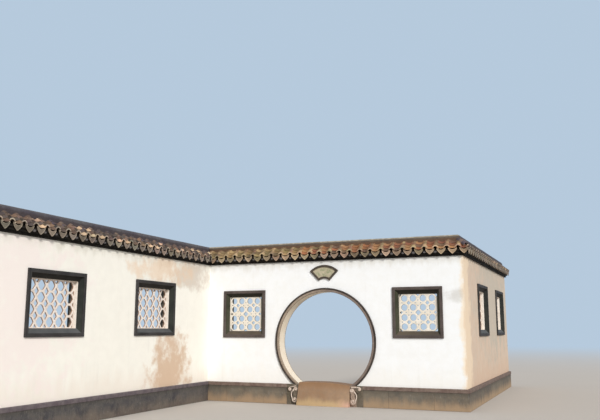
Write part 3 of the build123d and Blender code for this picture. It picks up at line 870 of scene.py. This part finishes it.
tiles = {
    "eaveOut": 0.292,  # from the wall's middle line to the tiles' lower ends
    "eaveHigh": 3.226,
    "ridgeOut": 0.09,
    # radius, half turn in degrees, whether it lies hollow, and steps
    "arcs": {"pan": (0.126, 43.0, True, 6), "cover": (0.067, 82.0, False, 8), "drip": (0.118, 50.0, True, 8)},
    "taper": 0.94,  # of a tile towards its upper end
    "thickness": 0.011,
    "endThickness": 0.015,
    "paintedShading": {"pan": (0.8, 1.25), "cover": (1.12, 1.0), "drip": (0.72, 1.35)},  # body and rim, as painted light: a pan's body, a drip's sunk face and a cover's lower end darkened as shade, and pan and drip rims lightened as highlights
    # each drop of the leaf and its scale across and up
    "leaf": [(0.02, 0.99, 0.86), (0.024, 0.86, 0.78), (0.022, 0.66, 0.7), (0.02, 0.24, 0.3)],
    "leafThickness": 0.013,
    "leafRim": (0.012, -0.005),  # its width and how far the face inside it lies back
    "lip": (0.012, 1.1),  # how far a cover's open end stands forward, and its spread
    "upright": 0.55,  # how far that end leans back, to stand upright on the slope
    "length": 0.165,
    "exposure": 0.082,
    "courses": 3,
    "lift": 0.03,  # how much a tile's lower end rides up on the one below
    "coverRise": 0.076,  # from the channel's bottom up to the crest of a cover
    "setBack": 0.024,
    "dripLow": 0.005,  # how far the drips' corners hang below the channel line
    "dripForward": 0.018,
    "shade": (0.84, 1.14),  # from tile to tile
    "tint": (0.95, 1.06),  # in each channel of its colour
    "loose": {"along": 0.004, "lean": 0.02, "twist": 0.03, "swing": 0.08, "tilt": 0.04},
    "hip": {"high": 0.09, "setBack": 0.097, "lift": 0.14},
}
# Painted light: the front run's palettes are the tiles as lit by the sun, pale on the covers, and the side
# runs' are the same tiles painted in shade, with a few channel tones painted as sunlit patches.
tileRuns = {
    "front": {
        "ridgeHigh": 3.424,
        "coverFall": 0.013,  # how much less a cover rises with each course up
        "endShade": 1.0,  # the lowest cover's body beside the others; below 1 it is painted shade, as in its open hollow
        "pan": [(0.31, 0.12, 0.052), (0.34, 0.17, 0.075), (0.23, 0.085, 0.046), (0.15, 0.085, 0.055)],
        "shadedMossyPan": [(0.25, 0.165, 0.07), (0.19, 0.13, 0.062), (0.33, 0.225, 0.105)],
        "shadedMossyBefore": -0.4,  # X up to which the channels are duller: mossy, and painted with the shade of foliage
        "cover": [(0.35, 0.235, 0.125), (0.27, 0.17, 0.09), (0.44, 0.3, 0.16), (0.27, 0.145, 0.085)],
        "leaf": [(0.49, 0.375, 0.24), (0.38, 0.305, 0.185), (0.57, 0.425, 0.285), (0.43, 0.3, 0.2)],
    },
    "side": {
        "ridgeHigh": 3.4,
        "coverFall": 0.003,
        # painted shade: the lowest covers darkened to the dark of their hollows
        "endShade": 0.28,
        "pan": [
            (0.13, 0.082, 0.06), (0.2, 0.12, 0.08), (0.6, 0.42, 0.27),
            (0.1, 0.068, 0.06), (0.085, 0.065, 0.062),
        ],
        "shadedMossyPan": [(0.11, 0.08, 0.065)],
        "shadedMossyBefore": -100.0,
        "cover": [(0.085, 0.062, 0.058), (0.12, 0.08, 0.066), (0.08, 0.062, 0.076), (0.2, 0.13, 0.105)],
        "leaf": [(0.32, 0.265, 0.21), (0.26, 0.22, 0.175), (0.38, 0.3, 0.235)],
    },
}


def arcEdge(bm, shape):
    # An arc in the XZ plane whose lowest or highest point is at the origin.
    radius, halfTurn, hollow, steps = tiles["arcs"][shape]
    centre = Vector((0, 0, radius if hollow else -radius))
    start = Matrix.Rotation(math.radians(halfTurn), 3, "Y") @ Vector((0, 0, -centre.z))
    first = bm.verts.new(centre + start)
    bmesh.ops.spin(
        bm, geom=[first], cent=centre, axis=(0, 1, 0), angle=-2 * math.radians(halfTurn),
        steps=steps, use_merge=False,
    )
    return bm.edges[:]


def pushEdges(bm, edges, move, scale=(1, 1, 1), pivot=(0, 0, 0)):
    made = bmesh.ops.extrude_edge_only(bm, edges=edges)["geom"]
    points = only(bmesh.types.BMVert, made)
    bmesh.ops.scale(bm, verts=points, vec=scale, space=Matrix.Translation(-Vector(pivot)))
    bmesh.ops.translate(bm, verts=points, vec=move)
    return only(bmesh.types.BMEdge, made)


def shellOf(bm, thickness):
    faceOut(bm)
    bmesh.ops.solidify(bm, geom=bm.faces[:], thickness=thickness)
    faceOut(bm)


tileRims = {}


def templateMesh(bm, name, onRim):
    # The points that onRim picks out take the rim's colour.
    mesh = bpy.data.meshes.new(name)
    bm.to_mesh(mesh)
    bm.free()
    tileRims[name] = [onRim(v.co) for v in mesh.vertices]
    return mesh


def tileTemplate(name):
    bm = bmesh.new()
    pushEdges(bm, arcEdge(bm, name), (0, tiles["length"], 0), (tiles["taper"], 1, tiles["taper"]))
    shellOf(bm, tiles["thickness"])
    return templateMesh(bm, name, lambda co: co.y < 0.01)


def frontFaces(bm):
    return [f for f in bm.faces if f.normal.y < -0.7]


def dripTemplate(name):
    # A leaf that hangs from the channel's end, with a raised rim round its face.
    bm = bmesh.new()
    edges = arcEdge(bm, name)
    for drop, narrow, flat in tiles["leaf"]:
        low = min(v.co.z for e in edges for v in e.verts)
        edges = pushEdges(bm, edges, (0, 0, -drop), (narrow, 1, flat), (0, 0, low))
    shellOf(bm, tiles["leafThickness"])
    level = min(v.co.y for v in bm.verts)
    width, depth = tiles["leafRim"]
    bmesh.ops.inset_region(bm, faces=frontFaces(bm), thickness=width, depth=depth, use_even_offset=True)
    return templateMesh(bm, name, lambda co: co.y < level + 0.001)


def coverEndTemplate(name):
    # The lowest cover tile, with a thickened lip at its open end.
    bm = bmesh.new()
    pushEdges(bm, arcEdge(bm, "cover"), (0, tiles["length"], 0))
    shellOf(bm, tiles["endThickness"])
    lip = frontFaces(bm)
    points = only(bmesh.types.BMVert, bmesh.ops.extrude_face_region(bm, geom=lip)["geom"])
    depth, spread = tiles["lip"]
    bmesh.ops.translate(bm, verts=points, vec=(0, -depth, 0))
    pivot = Matrix.Translation((0, 0, tiles["arcs"]["cover"][0]))
    bmesh.ops.scale(bm, verts=points, vec=(spread, 1, spread), space=pivot)
    bmesh.ops.delete(bm, geom=lip, context="FACES_ONLY")
    for v in bm.verts:
        if v.co.y < 0.01:
            v.co.y += tiles["upright"] * v.co.z
    faceOut(bm)
    return templateMesh(bm, name, lambda co: co.y - tiles["upright"] * co.z < -0.001)


tileMakers = {"pan": tileTemplate, "cover": tileTemplate, "coverEnd": coverEndTemplate, "drip": dripTemplate}
tileShapes = {name: maker(name) for name, maker in tileMakers.items()}


def stamp(bm, shape, place, body, rim):
    mesh = tileShapes[shape].copy()
    layer = mesh.color_attributes.new("tileColour", "FLOAT_COLOR", "POINT")
    colours = [c for onRim in tileRims[shape] for c in (*(rim if onRim else body), 1.0)]
    layer.data.foreach_set("color", colours)
    mesh.transform(place)
    bm.from_mesh(mesh)
    bpy.data.meshes.remove(mesh)


def varied(rng, palette, bodyShade, rimShade):
    # One tile's own colour, with painted shade and highlight for its body and for its rim.
    shade = rng.uniform(*tiles["shade"])
    tone = [c * shade * rng.uniform(*tiles["tint"]) for c in rng.choice(palette)]
    return [c * bodyShade for c in tone], [c * rimShade for c in tone]


def slopeFrame(origin, along, inward):
    turned = Matrix((along, inward, (0, 0, 1))).transposed().to_4x4()
    return Matrix.Translation(origin) @ turned


def slopeOf(rise, run):
    # A slope's angle, and the direction up it.
    angle = math.atan2(rise, run)
    return angle, Vector((0, math.cos(angle), math.sin(angle)))


def slopeTiles(bm, place, start, end, first, pitch, rng, look):
    angle, upSlope = slopeOf(look["ridgeHigh"] - tiles["eaveHigh"], tiles["eaveOut"] - tiles["ridgeOut"])
    lean = angle - math.atan2(tiles["lift"], tiles["length"])
    eave = Vector((0, -tiles["eaveOut"], tiles["eaveHigh"]))
    begin = first - math.ceil((first - start) / pitch) * pitch
    loose = {name: (-most, most) for name, most in tiles["loose"].items()}
    for column in range(int((end - start) / pitch) + 3):
        for half, shape in ((0.0, "pan"), (0.5, "cover")):
            x = begin + column * pitch + half * pitch
            if not start - pitch / 2 < x < end + pitch / 2:
                continue
            for course in range(tiles["courses"]):
                spot = eave + upSlope * (course * tiles["exposure"]) + upSlope * tiles["setBack"]
                if shape == "cover":
                    spot.z += tiles["coverRise"] - course * look["coverFall"]
                spot.x = x + rng.uniform(*loose["along"])
                turn = Matrix.Rotation(lean + rng.uniform(*loose["lean"]), 4, "X")
                twist = Matrix.Rotation(rng.uniform(*loose["twist"]), 4, "Z")
                shadedMossy = shape == "pan" and rng.random() < 0.5 + look["shadedMossyBefore"] - x
                body, rim = varied(rng, look["shadedMossyPan" if shadedMossy else shape], *tiles["paintedShading"][shape])
                kind = shape
                if shape == "cover" and course == 0:
                    kind = "coverEnd"
                    body = [c * look["endShade"] for c in body]
                    rim = varied(rng, look["leaf"], *tiles["paintedShading"]["drip"])[1]
                stamp(bm, kind, place @ Matrix.Translation(spot) @ twist @ turn, body, rim)
            if shape == "pan":
                hang = Matrix.Translation(eave + Vector((x, tiles["dripForward"], -tiles["dripLow"])))
                hang = hang @ Matrix.Rotation(rng.uniform(0.0, tiles["loose"]["swing"]), 4, "X")
                hang = hang @ Matrix.Rotation(rng.uniform(*loose["tilt"]), 4, "Y")
                stamp(bm, "drip", place @ hang, *varied(rng, look["leaf"], *tiles["paintedShading"]["drip"]))


def hipTiles(bm, corner, outwardSign, rng):
    # A row of cover tiles down the outer edge where two slopes meet.
    look, hip = tileRuns["side"], tiles["hip"]
    inward = Vector((-outwardSign, outwardSign, 0)).normalized()
    place = slopeFrame(corner, inward.cross(Vector((0, 0, 1))), inward)
    out = math.sqrt(2) * tiles["eaveOut"]
    angle, upSlope = slopeOf(look["ridgeHigh"] - tiles["eaveHigh"], out - math.sqrt(2) * tiles["ridgeOut"])
    eave = Vector((0, -out, tiles["eaveHigh"] + hip["high"]))
    lean = Matrix.Rotation(angle - hip["lift"], 4, "X")
    for course in range(tiles["courses"]):
        spot = Matrix.Translation(eave + upSlope * (hip["setBack"] + course * tiles["exposure"]))
        tone = varied(rng, look["cover"], *tiles["paintedShading"]["cover"])
        stamp(bm, "coverEnd" if course == 0 else "cover", place @ spot @ lean, *tone)


mortar = {
    "bed": [(0.225, 3.19), (0.25, 3.196), (0.25, 3.214), (0.085, 3.345)],  # half its section
    "lumpSpot": (-0.245, 3.184),
    "lumpSize": (0.036, 0.03, 0.024),
    "lumpShift": 0.012,
    "lumpScale": (0.8, 1.2),
}


def mortarLumps(bm, place, start, end, first, pitch, rng):
    # Bedding mortar squeezed out below each cover, between the drips.
    span = 2 * tiles["eaveOut"]
    column = math.ceil((start + span - first) / pitch)
    while first + (column + 0.5) * pitch < end - span:
        x = first + (column + 0.5) * pitch + rng.uniform(-mortar["lumpShift"], mortar["lumpShift"])
        size = Vector(mortar["lumpSize"]) * rng.uniform(*mortar["lumpScale"])
        shape = Matrix.LocRotScale(Vector((x, *mortar["lumpSpot"])), None, size)
        bmesh.ops.create_icosphere(bm, subdivisions=1, radius=1.0, matrix=place @ shape)
        column += 1


leftCorner = Vector((plan["wingLine"], plan["frontLine"], 0))
rightCorner = Vector((plan["returnLine"], plan["frontLine"], 0))
mitre = Vector((1, 1, 0)).normalized()
copingRuns = {
    # middle line's origin, along and inward seen from the viewer's side, start, end, first tile, pitch,
    # cuts at the corners, open end, tiles and ridge finish
    "front": ((0, plan["frontLine"], 0), (1, 0, 0), (0, 1, 0), -3.36, 3.22, 2.156, 0.2338,
              [(leftCorner, mitre), (rightCorner, -mitre)], None, "front", "ridge_front"),
    "wing": ((plan["wingLine"], 0, 0), (0, 1, 0), (-1, 0, 0), plan["wingEnd"], 0.46, -6.425, 0.2533,
             [(leftCorner, -mitre)], (plan["wingEnd"], 1), "side", "ridge_wing"),
    "return": ((plan["returnLine"], 0, 0), (0, 1, 0), (-1, 0, 0), -0.18, plan["returnEnd"], 0.55, 0.2533,
               [(rightCorner, mitre)], (plan["returnEnd"], -1), "side", "ridge_wing"),
}
ridge = {
    "section": [  # half the ridge, from its foot up and over
        (0.094, 3.35), (0.096, 3.482), (0.088, 3.508), (0.07, 3.532), (0.042, 3.549), (0.0, 3.555),
    ],
    "step": 0.12,
    "sag": 0.004,
    "waves": (1.7, 6.0, 4.0),  # how close they lie, broad and fine along the top, and across
    "pinch": (0.25, 0.095, 0.6),  # share of the sag, the ridge's half width, and the steady part
}


def runSolid(origin, along, inward, start, end, half, cuts, steps, sag=0.0):
    # Half a section, mirrored and carried along a run in short steps, mitred where walls meet.
    bm = bmesh.new()
    outline = [(-x, z) for x, z in half] + [(x, z) for x, z in reversed(half) if x > 1e-6]
    edges = closedLoop(bm, [(start, y, z) for y, z in outline])[1]
    bmesh.ops.contextual_create(bm, geom=edges)
    for _ in range(steps):
        edges = pushEdges(bm, edges, ((end - start) / steps, 0, 0))
    bmesh.ops.contextual_create(bm, geom=edges)
    if sag:  # uneven along its top, and narrower there
        (broad, fine, across), (pinch, halfWidth, steady) = ridge["waves"], ridge["pinch"]
        for v in bm.verts:
            wave = noise.noise(v.co * broad) + 0.5 * noise.noise(v.co * fine)
            v.co.z -= sag * (0.5 + 0.5 * wave)
            v.co.y *= 1 - pinch * sag / halfWidth * (steady + noise.noise(v.co * across))
    bmesh.ops.transform(bm, matrix=slopeFrame(origin, along, inward), verts=bm.verts)
    for point, normal in cuts:
        sawn(bm, point, normal)
    faceOut(bm)
    return bm


for number, (run, values) in enumerate(copingRuns.items()):
    origin, along, inward, start, end, first, pitch, cuts, openEnd, look, ridgeFinish = values
    rng = random.Random(11 + number)
    sides = [
        (slopeFrame(origin, along, inward), start, end, first, pitch, rng),
        (slopeFrame(origin, -Vector(along), -Vector(inward)), -end, -start, -first, pitch, rng),
    ]
    bm, lumps = bmesh.new(), bmesh.new()
    for side in sides:
        slopeTiles(bm, *side, tileRuns[look])
    for point, normal in cuts:
        sawn(bm, point, normal)
    if openEnd:
        reach, sense = openEnd
        sawn(bm, (0, reach, 0), (0, sense, 0))
        hipTiles(bm, cuts[0][0], -sense, rng)
    for side in sides:
        mortarLumps(lumps, *side)
    bed = runSolid(origin, along, inward, start, end, mortar["bed"], cuts, 1)
    steps = round((end - start) / ridge["step"])
    crest = runSolid(origin, along, inward, start, end, ridge["section"], cuts, steps, ridge["sag"])
    finishPiece(bm, "coping_tiles_" + run, "roof_tile", "tile_bed_" + run, 35.0)
    finishPiece(lumps, "mortar_lumps_" + run, "mortar_lump", "tile_bed_" + run, 60.0)
    finishPiece(bed, "mortar_bed_" + run, "bedding_mortar", "tile_bed_" + run)
    finishPiece(crest, "ridge_cap_" + run, ridgeFinish, "ridge_" + run, 50.0)
for mesh in tileShapes.values():
    bpy.data.meshes.remove(mesh)
print("coping tiled")


# Floor, light and camera

stage = {
    "floor": (0.6, 0.555, 0.51),
    "floorSize": 240,
    "sky": (0.47, 0.59, 0.72),
    "haze": (9.0, 60.0),  # where the floor starts and ends its fade into the backdrop
    "fill": (0.9, 0.95, 1.0),
    "fillStrength": 0.56,
    "sunStrength": 2.45,
    "sunSize": 9.0,
    "sunColour": (1.0, 0.965, 0.915),
    "sunAcross": 43.0,  # from straight in front, towards the right
    "sunHigh": 28.0,
}
ground = Finish("floor_finish", 0.95)
nearTone = ground.mix(ground.noise(0.6), stage["floor"], tuple(c * 0.96 for c in stage["floor"]))
haze = ground.ramp(ground.vector("LENGTH", ground.coords), *stage["haze"])
for socket, value in (
    ("Base Color", ground.mix(haze, nearTone, (0.0, 0.0, 0.0))), ("Specular IOR Level", 0.0),
    ("Emission Color", stage["sky"]), ("Emission Strength", haze),
):
    ground.feed(ground.shader[socket], value)
bpy.ops.mesh.primitive_plane_add(size=stage["floorSize"], location=(0, 0, -0.001))
floor = bpy.context.object
floor.name = "floor"
floor.data.materials.append(ground.material)

world = bpy.data.worlds.new("daylight")
bpy.context.scene.world = world
world.use_nodes = True
sky = Tree(world.node_tree)
sky.nodes.clear()
rays = sky.add("ShaderNodeLightPath").outputs
mirrored = sky.math("MAXIMUM", rays["Is Glossy Ray"], rays["Is Transmission Ray"])
seen = sky.math("MAXIMUM", rays["Is Camera Ray"], mirrored)
fill = sky.add("ShaderNodeBackground", {"Color": stage["fill"], "Strength": stage["fillStrength"]})
backdrop = sky.add("ShaderNodeBackground", {"Color": stage["sky"], "Strength": 1.0})
choice = sky.add("ShaderNodeMixShader", {"Fac": seen})
sky.links.new(fill.outputs[0], choice.inputs[1])
sky.links.new(backdrop.outputs[0], choice.inputs[2])
sky.links.new(choice.outputs[0], sky.add("ShaderNodeOutputWorld").inputs["Surface"])

lamp = bpy.data.lights.new("sun", "SUN")
lamp.energy = stage["sunStrength"]
lamp.angle = math.radians(stage["sunSize"])
lamp.color = stage["sunColour"]
sun = addObject("sun", lamp)
across, high = math.radians(stage["sunAcross"]), math.radians(stage["sunHigh"])
toSun = Vector((math.sin(across) * math.cos(high), -math.cos(across) * math.cos(high), math.sin(high)))
sun.rotation_euler = toSun.to_track_quat("Z", "Y").to_euler()

lens = bpy.data.cameras.new("camera")
lens.lens = camera["lens"]
lens.sensor_width = 36
lens.clip_end = 500
viewer = addObject("camera", lens)
viewer.location = camera["place"]
viewer.rotation_euler = (math.radians(90 + camera["rise"]), 0, math.radians(camera["turn"]))
bpy.context.scene.camera = viewer
bpy.context.scene.view_settings.view_transform = "Standard"
